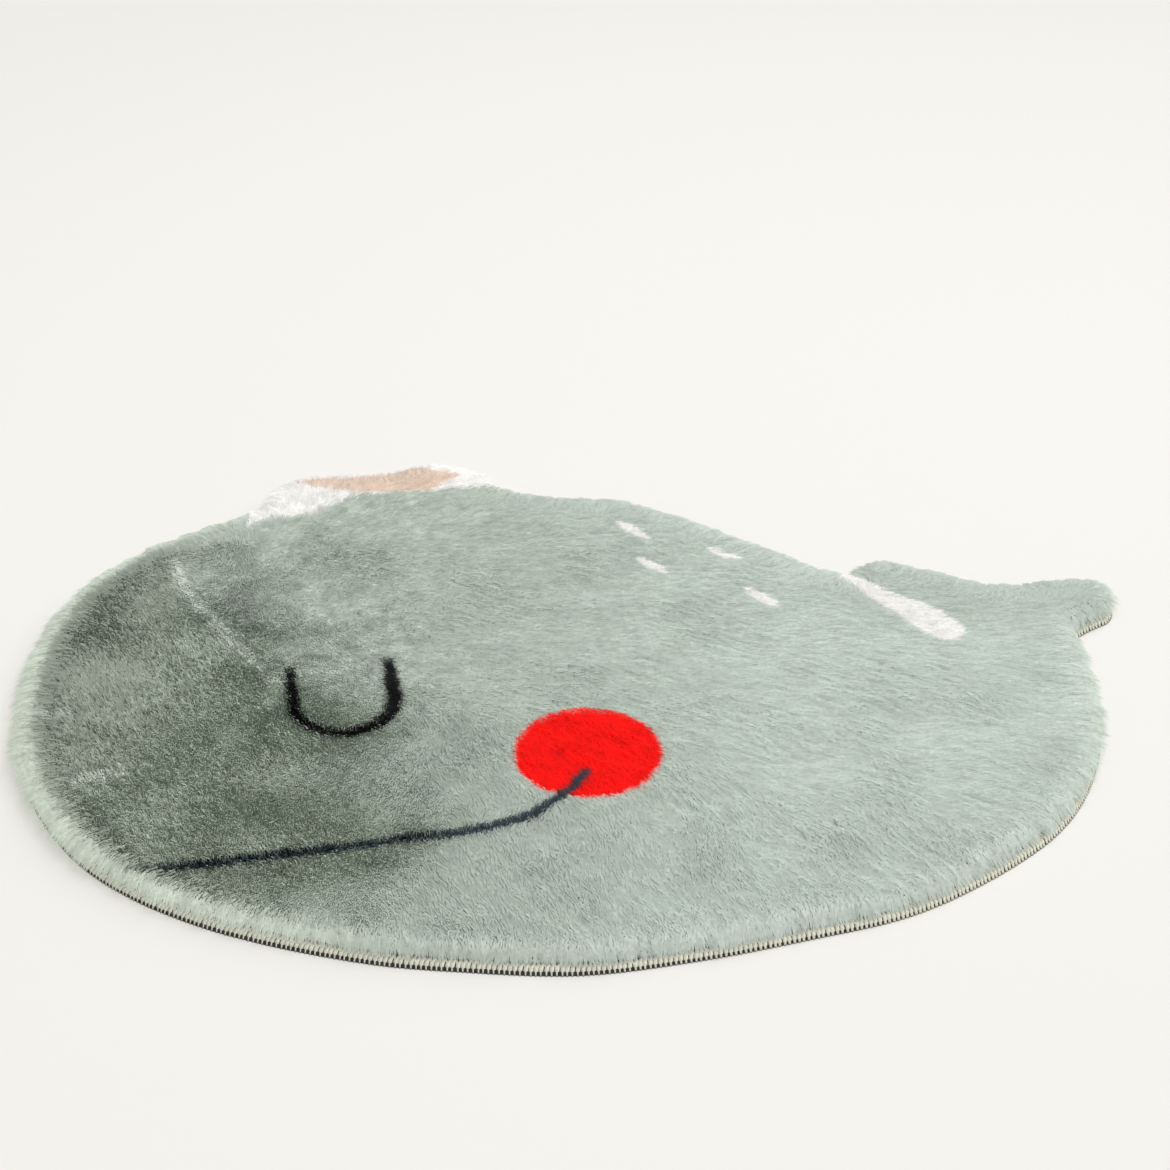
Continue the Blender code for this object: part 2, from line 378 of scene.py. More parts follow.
# ---------------------------------------------------------------- tone and print of the pile
def print_colour(x, y, out, outward, ragged):
    """Colour of the pile's tips at points in millimetres, which lie out past the cut edge that
    faces outward; ragged shifts each tuft's own edge."""
    # Sage is one dye, in painted light and shade of the nap: lighter towards the tail, less so on
    # the tail itself, darker where the pile stands, and darker still at the far left
    light = smooth(x - 0.15 * y, -300, 300)
    light = light - 0.5 * smooth(y, 40, 140) * smooth(x, 250, 420)
    sage = mixed(SAGE_MIDDLE, SAGE_PAINTED_LIGHT, light)
    dark = standing(x + 8 * ragged, y + 4 * ragged)
    sage = mixed(sage, SAGE_PAINTED_SHADE, dark)
    # Painted shade: darker at the far left, where the nap leans away
    sage = sage * (1 - 0.14 * smooth(-x, 430, 500) * smooth(y, -170, -90))[:, None]

    # Pale strands along the crease and in the flecks
    nearest = np.full(np.shape(x), 1e3)
    for start, end in zip(CREASE, CREASE[1:]):
        nearest = np.minimum(nearest, along_run(x, y, start, end)[0])
    nearest = nearest + 2 * np.sin(x / 11 + y / 17) + 2.5 * ragged
    pale = 0.8 * (1 - smooth(nearest, 0, CREASE_HALF_WIDTH))
    for ax, ay, bx, by, half in FLECKS:
        away, _ = along_run(x, y, (ax, ay), (bx, by))
        pale = np.maximum(pale, 0.6 * (1 - smooth(away + 4 * ragged, 0, half)))
    sage = mixed(sage, PALE_STRANDS, pale)

    # The rim, and over it the white round the spout, before the tail and in the dashes
    sage = rim_colour(sage, x, out, outward, ragged)
    line = np.interp(x, *np.array(BACK_LINE).T)
    round_spout = (x > BACK_LINE[0][0]) & (x < BACK_LINE[-1][0])
    faded = 1 + 5 * (1 - smooth(x, -330, -290))
    white = np.where(round_spout, (y - line + 4 * ragged) / faded, -1e3)
    white = np.maximum(white, inside_chain(x, y, TAIL_GAP) + 1.2 * ragged)
    for ax, ay, bx, by, half in DASHES:
        away, share = along_run(x, y, (ax, ay), (bx, by))
        white = np.maximum(white, half * np.sqrt(np.maximum(1.05 - (2 * share - 1) ** 2, 0))
                           - away + 0.8 * ragged)
    colour = mixed(sage, WHITE_PILE, smooth(white, -1, 1.5))

    pink = np.minimum(inside_chain(x, y, SPOUT), y - line)
    colour = mixed(colour, PINK, smooth(pink + 1.5 * ragged, -1, 2))

    cheek = CHEEK_RADIUS - np.hypot(x - CHEEK_CENTRE[0], y - CHEEK_CENTRE[1])
    colour = mixed(colour, RED, smooth(cheek + 1.6 * ragged, -0.8, 0.8))

    faint = 0.35 + 0.65 * smooth(x, SMILE[0][0] - 8, SMILE[0][0] + 45)
    smile = smooth(inside_chain(x, y, SMILE) + 1.6 * ragged, -2.5, 2)
    colour = mixed(colour, SLATE, faint * smile)
    return mixed(colour, BLACK, smooth(eye_depth(x, y) + 2.0 * ragged, -1.5, 1.5))


def eye_depth(x, y):
    """Depth inside the closed eye, a U whose stroke is heavier at its right."""
    turn = math.radians(EYE_TILT)
    dx, dy = x - EYE_CENTRE[0], y - EYE_CENTRE[1]
    side = dx * math.cos(turn) + dy * math.sin(turn)
    up = -dx * math.sin(turn) + dy * math.cos(turn)
    bowl = np.abs(np.hypot(side, up) - EYE_RADIUS)
    leg = np.hypot(np.abs(side) - EYE_RADIUS, np.maximum(up - EYE_LEGS, 0))
    away = np.where(up < 0, bowl, leg)
    thin, thick = EYE_HALF_STROKE
    half = thin + (thick - thin) * smooth(side, -EYE_RADIUS, EYE_RADIUS)
    return half * (1 - 0.3 * smooth(up, EYE_LEGS - 45, EYE_LEGS + 5)) - away


# ---------------------------------------------------------------- the pile
def nap_at(x, y):
    """Heading of the pile at points in millimetres, in radians, and its lean."""
    total, heading, lean = 0.0, 0.0, 0.0
    for nx, ny, angle, amount in NAP:
        weight = 1 / (np.hypot(x - nx, y - ny) + 30) ** 3
        total = total + weight
        heading = heading + weight * math.radians(angle)
        lean = lean + weight * amount
    return heading / total, lean / total


def wander(u, v, rng):
    """Smooth random rise and fall, about -2 to 2, with hills a few units of u and v apart."""
    table = rng.normal(0, 1.3, (256, 256))
    i, j = np.floor(u).astype(int), np.floor(v).astype(int)
    a, b = smooth(u - i, 0, 1), smooth(v - j, 0, 1)
    i, j, ii, jj = i % 256, j % 256, (i + 1) % 256, (j + 1) % 256
    low = table[i, j] * (1 - a) + table[ii, j] * a
    high = table[i, jj] * (1 - a) + table[ii, jj] * a
    return low * (1 - b) + high * b


def strands(x, y, heading, length, width, rng):
    """Soft ridges that run the way the pile points, about -2 to 2; lengths in millimetres."""
    total, power = 0.0, 0.0
    for k in range(6):
        angle = math.pi * k / 6
        weight = np.cos(heading - angle) ** 16
        u = (x * math.cos(angle) + y * math.sin(angle)) / length
        v = (y * math.cos(angle) - x * math.sin(angle)) / width
        total = total + weight * wander(u, v, rng)
        power = power + weight ** 2
    return total / np.sqrt(power)


def jittered(low, high, pitch, rng):
    """Points on a staggered grid with each one nudged."""
    rows = np.arange(low[1], high[1], pitch * math.sqrt(0.75))
    columns = np.arange(low[0], high[0], pitch)
    x = columns[None, :] + (np.arange(len(rows)) % 2)[:, None] * pitch / 2
    y = np.broadcast_to(rows[:, None], x.shape)
    spots = np.stack((x.ravel(), y.ravel()), axis=1)
    return spots + rng.uniform(-0.42, 0.42, spots.shape) * pitch


def nearest_of(middles, spots):
    """Number of the nearest middle to each spot."""
    tree = KDTree(len(middles))
    for i, (x, y) in enumerate(middles):
        tree.insert((x, y, 0), i)
    tree.balance()
    find = tree.find
    return np.fromiter((find((x, y, 0))[1] for x, y in spots), int, len(spots))


def rim_colour(colour, x, out, outward, ragged):
    """The pile's colour along the rim, where it is paler at the snout, with painted light that
    brightens the pale band on the back and at the left, and painted shade on the rim's front and
    inside the pale band at the left; out is how far points lie outside the cut edge, in mm."""
    left = smooth(-outward[:, 0] - 0.1 * outward[:, 1], 0.35, 0.9)
    front = smooth(-outward[:, 1], 0.3, 0.8)
    far_left = smooth(-x, 120, 330)
    back = smooth(outward[:, 1], 0.2, 0.6) * smooth(-x, 180, 330)
    band = 8 + 9 * front + 6 * back
    strength = np.maximum(left, front * (0.25 + 0.65 * far_left) * smooth(-x, -80, 60))
    strength = np.maximum(strength, 0.9 * back)
    pale = smooth(out + 2 * ragged, -band - 6, -band + 6) * strength
    thin = smooth(out + ragged, -3, 5) * 0.5
    # Painted light: the pale mint is brighter along the back and at the left
    mint = np.array(PALE_MINT) * (1 + 0.16 * back + 0.08 * left * (1 - front))[:, None]
    colour = mixed(colour, mint, np.maximum(pale, thin))
    # Painted shade: darker on the front of the rim, and in a band inside the pale band at the left
    shaded = 0.12 * front * (1 - far_left) * smooth(out + ragged, -15, -5)
    shaded += 0.12 * left * smooth(out, -50, -28) * (1 - smooth(out, -16, -6))
    return colour * (1 - shaded)[:, None]


def standing(x, y):
    """1 where the pile stands up and is painted darker as its shade, 0 where it lies over; x, y in
    mm.
    """
    level, place, soft = np.array(STANDING_EDGE).T
    place, soft = np.interp(y, level, place), np.interp(y, level, soft)
    dark = 1 - smooth((x - place) / soft, -1, 1)
    half_up = 0.12 * (1 - smooth(x, -380, -130))
    faint = 1 - 0.35 * smooth(y, 110, 220)
    return np.maximum(dark, half_up) * faint * (0.25 + 0.75 * smooth(y, -450, -345))


def surface(top, low, inwards):
    """Height of the pile's surface at distances inwards from its outermost tips."""
    bulge = np.clip(1 - inwards / ROUND_WIDTH, 0, 1)
    return low + (top - low) * np.sqrt(1 - bulge ** 2)


def scatter_roots(edge, low, high, rng):
    """Roots of the tufts, twice as close at the rim, with their depths and steps of the edge."""
    field = jittered(low, high, TUFT_PITCH, rng)
    roots = np.concatenate((field, jittered(low, high, TUFT_PITCH, rng)))
    depth, nearest = edge.depths(roots)
    kept = depth > ROOT_IN
    kept[len(field):] &= depth[len(field):] < ROOT_IN + DENSE_RIM
    return roots[kept], depth[kept], nearest[kept]


class Tufts:
    """Every tuft of the pile: where it is rooted, how it leans and its colours."""

    def __init__(self, edge, rng):
        low, high = edge.points.min(axis=0), edge.points.max(axis=0)
        roots, depth, nearest = scatter_roots(edge, low, high, rng)
        count = len(roots)
        outward, hang = edge.outward[nearest], edge.hang[nearest]
        tangent = np.stack((-outward[:, 1], outward[:, 0]), axis=1)
        x, y = (roots / MM).T
        own = rng.normal(0, 1, (count, 4)).clip(-2.2, 2.2)

        upright = standing(x, y)

        # The nap, which turns outwards at the rim and wanders a little everywhere
        slow = wander(x / 60, y / 60, rng)
        heading, lean = nap_at(x, y)
        heading = heading + 0.16 * slow + (0.10 + 0.4 * upright) * own[:, 0]
        lean = lean * (FULL_LEAN - STANDING_LEAN * upright) * MM * (1 + 0.12 * own[:, 1])
        against = np.maximum(-np.cos(heading - np.arctan2(outward[:, 1], outward[:, 0])), 0)
        scatter = 9 * MM * own[:, 0] * smooth(depth, ROOT_IN, 2.2 * ROOT_IN)
        rim = 1 - smooth(depth + scatter, ROOT_IN, RIM_WIDTH * (1 + 0.9 * against))
        lean = np.stack((lean * np.cos(heading), lean * np.sin(heading)), axis=1)
        step = edge.length / edge.count
        along = nearest * step + ((roots - edge.points[nearest]) * tangent).sum(axis=1)
        along = along / MM
        uneven = 1.2 * wander(along / 5, depth / MM / 9, rng) + 1.3 * wander(along / 16, 0 * x, rng)
        hang = hang + MM * uneven.clip(-4, 3)
        loose = smooth(-outward[:, 0] - 0.3 * np.abs(outward[:, 1]), 0.2, 0.8)
        over = hang + ROOT_IN + 0.25 * (depth - ROOT_IN) + (1.3 + 1.7 * loose) * MM * own[:, 2]
        across = 2.6 * MM * wander(along / 10, depth / MM / 16, rng) + 0.8 * MM * own[:, 1]
        rim_reach = outward * over[:, None] + tangent * across[:, None]
        reach = mixed(lean, rim_reach + 0.25 * lean, rim)

        # Ridges and slits that run along it, and small clumps
        heading = np.arctan2(reach[:, 1], reach[:, 0])
        grain = 0.3 + 0.7 * (1 - smooth(x, -380, -60))
        grain = grain * (1 - smooth(x - 0.5 * np.minimum(y + 300, 0), 20, 260))
        grain = np.maximum(upright, grain) * smooth(depth / MM, 20, 70)
        eye_x, eye_y, eye_reach = EYE_GRAIN
        near_eye = np.exp(-((x - eye_x) ** 2 + (y - eye_y) ** 2) / eye_reach ** 2)
        ridge = strands(x, y, heading, *RIDGE, rng) * (1 - 0.75 * grain)
        ridge *= 1 - 0.4 * smooth(x, 380, 450)
        fine_ridge = strands(x, y, heading, *FINE_RIDGE, rng) * (1 - 0.4 * grain)
        middles = jittered(low, high, CLUMP_PITCH, rng)
        clump = nearest_of(middles, roots + 0.5 * MM * own[:, 2:4])
        swirl = rng.normal(0, 1, (len(middles), 2)).clip(-2, 2)[clump]
        reach = reach + (middles[clump] - roots) * 0.25
        reach = reach + 0.6 * MM * swirl

        # Heights of the roots, of the bend and of the tips under the rounded surface
        top = PILE_HEIGHT + 0.8 * MM * wander(x / 40, y / 40, rng)
        top = top + MM * (0.75 * ridge + 0.25 * fine_ridge - 0.5 * np.maximum(-1.0 - ridge, 0))
        top = top + (0.12 + 0.12 * grain + 0.30 * upright) * MM * own[:, 3]
        foot = ROOT_HEIGHT + (CLOTH_TOP - ROOT_HEIGHT) * rim
        bend = 0.34 + 0.05 * own[:, 3]
        from_edge = (reach * outward).sum(axis=1)
        self.out = (-depth, bend * from_edge - depth, from_edge - depth)
        rim_low = edge.low[nearest]
        middle_height = surface(top, rim_low, hang - self.out[1])
        middle_height -= 0.2 * (middle_height - foot) * (1 - rim)
        tip_height = surface(top, rim_low, hang - self.out[2])

        # Where each blade goes, and how broad it is
        self.root = np.column_stack((roots, foot))
        self.middle = np.column_stack((roots + reach * bend[:, None], middle_height))
        self.tip = np.column_stack((roots + reach, tip_height))
        flat = np.stack((reach[:, 1], -reach[:, 0]), axis=1)
        flat /= np.hypot(*flat.T)[:, None] + 1e-6
        roll = 0.25 * own[:, 1]
        broadside = np.column_stack((flat * np.cos(roll)[:, None], np.sin(roll)))
        width = TUFT_WIDTH * (1 + 0.15 * own[:, 2] + 0.15 * upright + 0.35 * rim)
        self.side = broadside * (width / 2)[:, None]

        # How light or dark each tuft is beside its neighbours: at random, with painted light on the
        # ridges and painted shade in the slits between them
        streak = 1 + (0.03 + 0.06 * grain + 0.04 * upright) * (1 + near_eye) * own[:, 3]
        streak *= 1 + 0.030 * ridge + 0.015 * fine_ridge
        streak *= 1 + (0.008 + 0.006 * grain) * slow
        grain = grain * (1 - 0.4 * upright) * (1 + near_eye)
        for size, even, grainy in MOTTLE:
            streak *= 1 + (even + grainy * grain) * wander(x / size, y / size, rng)
        # Painted shade at the roots, deepest where the grain shows and the pile stands
        shade = 0.97 - (0.08 * grain + 0.12 * upright) * (1 - rim)
        self.set_colours(outward, own, streak.clip(0.4, 1.5), shade)
        self.set_normals(outward, rim)

    def set_normals(self, outward, rim):
        """Directions that the tufts are lit from: mostly the pile's surface, a little their own."""
        steep = np.radians(RIM_TILT * rim ** 2) * (1 - 0.8 * self.white)
        up = np.column_stack((outward * np.sin(steep)[:, None], np.cos(steep)))
        face = np.cross(self.side, self.tip - self.middle)
        face /= np.linalg.norm(face, axis=1)[:, None] + 1e-9
        self.normal = face * (1 - EVEN_SHADE) + up * EVEN_SHADE
        self.normal /= np.linalg.norm(self.normal, axis=1)[:, None]

    def set_colours(self, outward, own, streak, root_shade):
        """Colours at the root, the middle and the tip of each tuft, and how white its tip is: the
        root and the middle are painted darker than the tip as shade, white tufts least.
        """
        tip_part = self.middle * 0.35 + self.tip * 0.65
        tip_out = self.out[1] * 0.35 + self.out[2] * 0.65
        self.colours = []
        for place, out, shade in (
            (self.root, self.out[0], root_shade),
            (tip_part, tip_out, 0.98),
            (tip_part, tip_out, 1.01),
        ):
            x, y = (place[:, :2] / MM).T
            colour = print_colour(x, y, out / MM, outward, own[:, 0])
            white = smooth(colour.min(axis=1), 0.64, 0.85)
            shade = shade + (1 - shade) * white
            self.colours.append(colour * (shade * streak)[:, None])
        self.white = white

    def mesh(self, name, chosen):
        """One mesh of the chosen tufts, each a tapering blade of two faces, bent at its middle."""
        count = len(chosen)
        spots = np.empty((count, 4, 3))
        spots[:, 0] = self.root[chosen]
        spots[:, 1] = self.middle[chosen] - self.side[chosen]
        spots[:, 2] = self.middle[chosen] + self.side[chosen]
        spots[:, 3] = self.tip[chosen]
        paint = np.ones((count, 4, 4))
        for corner, part in ((0, 0), (1, 1), (2, 1), (3, 2)):
            paint[:, corner, :3] = self.colours[part][chosen]
        blade = np.array((0, 2, 1, 1, 2, 3))
        corners = (np.arange(count)[:, None] * 4 + blade).ravel()

        mesh = bpy.data.meshes.new(name)
        mesh.vertices.add(count * 4)
        mesh.vertices.foreach_set("co", spots.ravel())
        mesh.loops.add(count * 6)
        mesh.loops.foreach_set("vertex_index", corners)
        mesh.polygons.add(count * 2)
        mesh.polygons.foreach_set("loop_start", np.arange(count * 2) * 3)
        dye = mesh.color_attributes.new("dye", "FLOAT_COLOR", "POINT")
        dye.data.foreach_set("color", paint.ravel())
        normal = mesh.attributes.new("custom_normal", "FLOAT_VECTOR", "POINT")
        normal.data.foreach_set("vector", np.repeat(self.normal[chosen], 4, axis=0).ravel())

        low, high = spots[:, 0, :2].min(axis=0), spots[:, 0, :2].max(axis=0)
        cell = TUFT_PITCH * np.array(((0.5, 0.0), (0.0, 0.5), (1.0, 0.5), (0.5, 1.0)))
        places = (spots[:, :1, :2] + cell[None] - low) / (high - low + TUFT_PITCH)
        layer = mesh.uv_layers.new(name="OFBake")
        layer.uv.foreach_set("vector", places.reshape(-1, 2)[corners].ravel())
        mesh.update(calc_edges=True)
        return mesh


def fur_material():
    """Soft matte fibres in the colours of the print, with a faint mottle from fibre to fibre."""
    material, tree, shader = add_material("printed_fur")
    dye = tree.nodes.new("ShaderNodeAttribute")
    dye.attribute_name = "dye"
    place = tree.nodes.new("ShaderNodeTexCoord")
    mottle = tree.nodes.new("ShaderNodeTexNoise")
    mottle.inputs["Scale"].default_value = 260.0
    mottle.inputs["Detail"].default_value = 2.0
    spread = tree.nodes.new("ShaderNodeMapRange")
    spread.inputs["From Min"].default_value = 0.3
    spread.inputs["From Max"].default_value = 0.7
    spread.inputs["To Min"].default_value = 0.92
    spread.inputs["To Max"].default_value = 1.08
    scale = tree.nodes.new("ShaderNodeVectorMath")
    scale.operation = "SCALE"
    link = tree.links.new
    link(place.outputs["Object"], mottle.inputs["Vector"])
    link(mottle.outputs["Fac"], spread.inputs["Value"])
    link(dye.outputs["Color"], scale.inputs[0])
    link(spread.outputs["Result"], scale.inputs["Scale"])
    link(scale.outputs["Vector"], shader.inputs["Base Color"])
    shader.inputs["Roughness"].default_value = 0.75
    shader.inputs["Specular IOR Level"].default_value = 0.1
    shader.inputs["Sheen Weight"].default_value = 0.06
    shader.inputs["Sheen Roughness"].default_value = 0.5
    return material


def make_fur(edge):
    """The tufts in strips from snout to tail, so that no piece is too heavy."""
    tufts = Tufts(edge, np.random.default_rng(23))
    names = ("fur_snout", "fur_eye", "fur_cheek", "fur_flank", "fur_tail")
    strips = np.array_split(np.argsort(tufts.root[:, 0], kind="stable"), len(names))
    material = fur_material()
    pieces = []
    for name, chosen in zip(names, strips):
        mesh = tufts.mesh(name, chosen)
        mesh.materials.append(material)
        pieces.append(finish_piece(name, mesh, "fur", "pile_cloth"))
    return pieces


# ---------------------------------------------------------------- under the tufts
def make_pile_ground(edge):
    """Woven ground and the dense body of the pile, from the solid's own form drawn in."""
    bm = bmesh.new()
    bm.from_mesh(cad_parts["pile_cloth"].data)
    bmesh.ops.remove_doubles(bm, verts=bm.verts, dist=1e-5)
    for longest in COARSE_EDGES:
        coarse = [e for e in bm.edges
                  if e.calc_length() > longest and e.verts[0].co.z > DENSE_BODY_FROM]
        bmesh.ops.subdivide_edges(bm, edges=coarse, cuts=1, use_grid_fill=True)
    fur = [vert for vert in bm.verts if vert.co.z > CLOTH_TOP + 0.5 * MM]
    spots = np.array([vert.co.xy for vert in fur])
    depth, nearest = edge.depths(spots)
    for vert, deep, i in zip(fur, depth, nearest):
        short = max(ROOT_IN + 3 * MM - deep, 0.0)
        vert.co.x -= edge.outward[i, 0] * short
        vert.co.y -= edge.outward[i, 1] * short
        share = (vert.co.z - CLOTH_TOP) / (PILE_HEIGHT - CLOTH_TOP)
        vert.co.z = CLOTH_TOP + share * (UNDER_FUR_TOP - CLOTH_TOP)
    swell_sides(bm, edge)
    bmesh.ops.triangulate(bm, faces=[face for face in bm.faces if len(face.verts) > 4])
    mesh = bpy.data.meshes.new("pile_ground")
    bm.to_mesh(mesh)
    bm.free()
    x, y = (np.array([vert.co.xy for vert in mesh.vertices]) / MM).T
    high = np.array([vert.co.z for vert in mesh.vertices]) > CLOTH_TOP + 0.5 * MM
    paint = np.ones((len(x), 4))
    depth, nearest = edge.depths(np.column_stack((x, y)) * MM)
    colour = print_colour(x, y, -depth / MM, edge.outward[nearest], 0 * x)
    # Painted shade: the dense body under the tufts is darker than the print, more where the pile
    # stands
    paint[:, :3] = colour * (0.92 - 0.17 * standing(x, y))[:, None]
    paint[~high, :3] = WOVEN_GROUND
    dye = mesh.color_attributes.new("dye", "FLOAT_COLOR", "POINT")
    dye.data.foreach_set("color", paint.ravel())
    material, tree, shader = add_material("woven_ground")
    dyed = tree.nodes.new("ShaderNodeAttribute")
    dyed.attribute_name = "dye"
    tree.links.new(dyed.outputs["Color"], shader.inputs["Base Color"])
    shader.inputs["Roughness"].default_value = 0.95
    mesh.materials.append(material)
    return finish_piece("pile_ground", mesh, "fur", "pile_cloth")


def swell_sides(bm, edge, heights=None):
    """Lets the rim of a layer swell out between the threads that hold it, after moving its
    lower and upper corners to new heights."""
    sides = [vert for vert in bm.verts if vert.co.z < CLOTH_TOP + 0.1 * MM]
    depth, nearest = edge.depths(np.array([vert.co.xy for vert in sides]))
    for vert, deep, i in zip(sides, depth, nearest):
        if deep < 2.5 * MM:
            if heights:
                vert.co.z = heights[0] if vert.co.z < 1.5 * MM else heights[1]
            out = deep - SIDE_IN + edge.swell(i, vert.co.z)
            vert.co.x += edge.outward[i, 0] * out
            vert.co.y += edge.outward[i, 1] * out


def fibre_group():
    """Shader group for felt and thread: a colour that wanders between two with the fibres, and
    a normal that is roughened by them."""
    group = bpy.data.node_groups.new("fibre_fuzz", "ShaderNodeTree")
    for label, kind in (("Scale", "Float"), ("Dark", "Color"), ("Light", "Color"),
                        ("Depth", "Float")):
        group.interface.new_socket(label, in_out="INPUT", socket_type="NodeSocket" + kind)
    group.interface.new_socket("Color", in_out="OUTPUT", socket_type="NodeSocketColor")
    group.interface.new_socket("Normal", in_out="OUTPUT", socket_type="NodeSocketVector")
    given, result = group.nodes.new("NodeGroupInput"), group.nodes.new("NodeGroupOutput")
    place = group.nodes.new("ShaderNodeTexCoord")
    fibres = group.nodes.new("ShaderNodeTexNoise")
    fibres.inputs["Detail"].default_value = 4.0
    fibres.inputs["Roughness"].default_value = 0.6
    spread = group.nodes.new("ShaderNodeMapRange")
    spread.inputs["From Min"].default_value = 0.3
    spread.inputs["From Max"].default_value = 0.7
    tint = group.nodes.new("ShaderNodeMix")
    tint.data_type = "RGBA"
    bump = group.nodes.new("ShaderNodeBump")
    bump.inputs["Strength"].default_value = 0.6
    link = group.links.new
    link(place.outputs["Object"], fibres.inputs["Vector"])
    link(given.outputs["Scale"], fibres.inputs["Scale"])
    link(fibres.outputs["Fac"], spread.inputs["Value"])
    link(spread.outputs["Result"], tint.inputs["Factor"])
    link(given.outputs["Dark"], tint.inputs["A"])
    link(given.outputs["Light"], tint.inputs["B"])
    link(fibres.outputs["Fac"], bump.inputs["Height"])
    link(given.outputs["Depth"], bump.inputs["Distance"])
    link(tint.outputs["Result"], result.inputs["Color"])
    link(bump.outputs["Normal"], result.inputs["Normal"])
    return group


def add_fibres(tree, fuzz, scale, dark, light, depth):
    """A use of the fibre group in a material."""
    node = tree.nodes.new("ShaderNodeGroup")
    node.node_tree = fuzz
    node.inputs["Scale"].default_value = scale
    node.inputs["Dark"].default_value = (*dark, 1)
    node.inputs["Light"].default_value = (*light, 1)
    node.inputs["Depth"].default_value = depth
    return node


def make_felt(edge, fuzz):
    """Charcoal felt under the cloth, whose rim rolls down to the floor between the threads."""
    bm = bmesh.new()
    bm.from_mesh(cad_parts["backing"].data)
    bmesh.ops.remove_doubles(bm, verts=bm.verts, dist=1e-5)
    swell_sides(bm, edge, heights=(0.2 * MM, 3.2 * MM))
    mesh = bpy.data.meshes.new("felt_backing")
    bm.to_mesh(mesh)
    bm.free()
    material, tree, shader = add_material("charcoal_felt")
    fibres = add_fibres(tree, fuzz, 420.0, FELT_DARK, FELT_LIGHT, 0.4 * MM)
    tree.links.new(fibres.outputs["Color"], shader.inputs["Base Color"])
    tree.links.new(fibres.outputs["Normal"], shader.inputs["Normal"])
    shader.inputs["Roughness"].default_value = 0.95
    mesh.materials.append(material)
    return finish_piece("felt_backing", mesh, "felt", "backing")


# ---------------------------------------------------------------- the overlock
THREAD_SIDES = 5
BROAD_FROM = (-86, -62)         # headings of the edge over which the threads' feet grow broader
BROADER = 1.3                   # by this share
FOOT_TOP = 3.9 * MM             # below this height
OVER_THREAD = (
    # along in stitches, out and height in millimetres, width and thickness
    (0.50, -8.2, 5.7, 2.4, 0.7),
    (0.42, -7.2, 6.1, 3.0, 0.8),
    (0.24, -3.6, 6.3, 3.6, 0.9),
    (0.06, -1.1, 6.1, 4.6, 0.9),
    (0.02, 0.00, 5.5, 4.7, 0.8),
    (0.00, 0.30, 4.2, 4.6, 0.7),
    (0.00, 0.20, 3.5, 1.6, 0.7),
    (0.02, 0.10, 0.6, 1.5, 0.7),
    (0.20, -4.6, 0.5, 1.3, 0.5),
)
BACK_THREAD = (
    (0.50, -8.2, 5.6, 1.4, 0.7),
    (0.62, -7.0, 6.1, 1.8, 0.8),
    (0.80, -3.4, 6.2, 2.2, 0.8),
    (0.96, -0.6, 5.8, 2.4, 0.8),
    (1.02, -0.2, 4.6, 1.4, 0.6),
)


def stitch_form(path):
    """Rings of a flattened thread along its path, in stitch coordinates: along, out, height."""
    path = np.array(path, float)
    path[:, 0] *= STITCH_PITCH
    path[:, 1:] *= MM
    run = np.gradient(path[:, :3], axis=0)
    run /= np.linalg.norm(run, axis=1)[:, None]
    broad = np.cross(run, np.cross((1.0, 0.0, 0.0), run))
    broad /= np.linalg.norm(broad, axis=1)[:, None]
    thin = np.cross(run, broad)
    turn = np.arange(THREAD_SIDES) * 2 * math.pi / THREAD_SIDES
    ring = broad[:, None] * np.cos(turn)[:, None] * path[:, None, 3:4] / 2
    ring = ring + thin[:, None] * np.sin(turn)[:, None] * path[:, None, 4:5] / 2
    return path[:, None, :3] + ring


def thread_faces(rings):
    """Corners of the faces of one thread: the quads of its skin, then its two ends."""
    faces = []
    for r in range(rings - 1):
        for k in range(THREAD_SIDES):
            a, b = r * THREAD_SIDES + k, r * THREAD_SIDES + (k + 1) % THREAD_SIDES
            faces.append((a, b, b + THREAD_SIDES, a + THREAD_SIDES))
    faces.append(tuple(reversed(range(THREAD_SIDES))))
    faces.append(tuple(range((rings - 1) * THREAD_SIDES, rings * THREAD_SIDES)))
    return faces


def thread_material(fuzz):
    """Cream thread, darker where it nears the floor."""
    material, tree, shader = add_material("overlock_thread")
    fibres = add_fibres(tree, fuzz, 900.0, THREAD_DARK, THREAD_LIGHT, 0.2 * MM)
    place = tree.nodes.new("ShaderNodeTexCoord")
    height = tree.nodes.new("ShaderNodeSeparateXYZ")
    low = tree.nodes.new("ShaderNodeMapRange")
    low.inputs["From Min"].default_value = 0.8 * MM
    low.inputs["From Max"].default_value = 2.2 * MM
    tint = tree.nodes.new("ShaderNodeMix")
    tint.data_type = "RGBA"
    tint.inputs["A"].default_value = (*THREAD_NEAR_FLOOR, 1)
    link = tree.links.new
    link(place.outputs["Object"], height.inputs["Vector"])
    link(height.outputs["Z"], low.inputs["Value"])
    link(low.outputs["Result"], tint.inputs["Factor"])
    link(fibres.outputs["Color"], tint.inputs["B"])
    link(tint.outputs["Result"], shader.inputs["Base Color"])
    link(fibres.outputs["Normal"], shader.inputs["Normal"])
    shader.inputs["Roughness"].default_value = 0.8
    return material


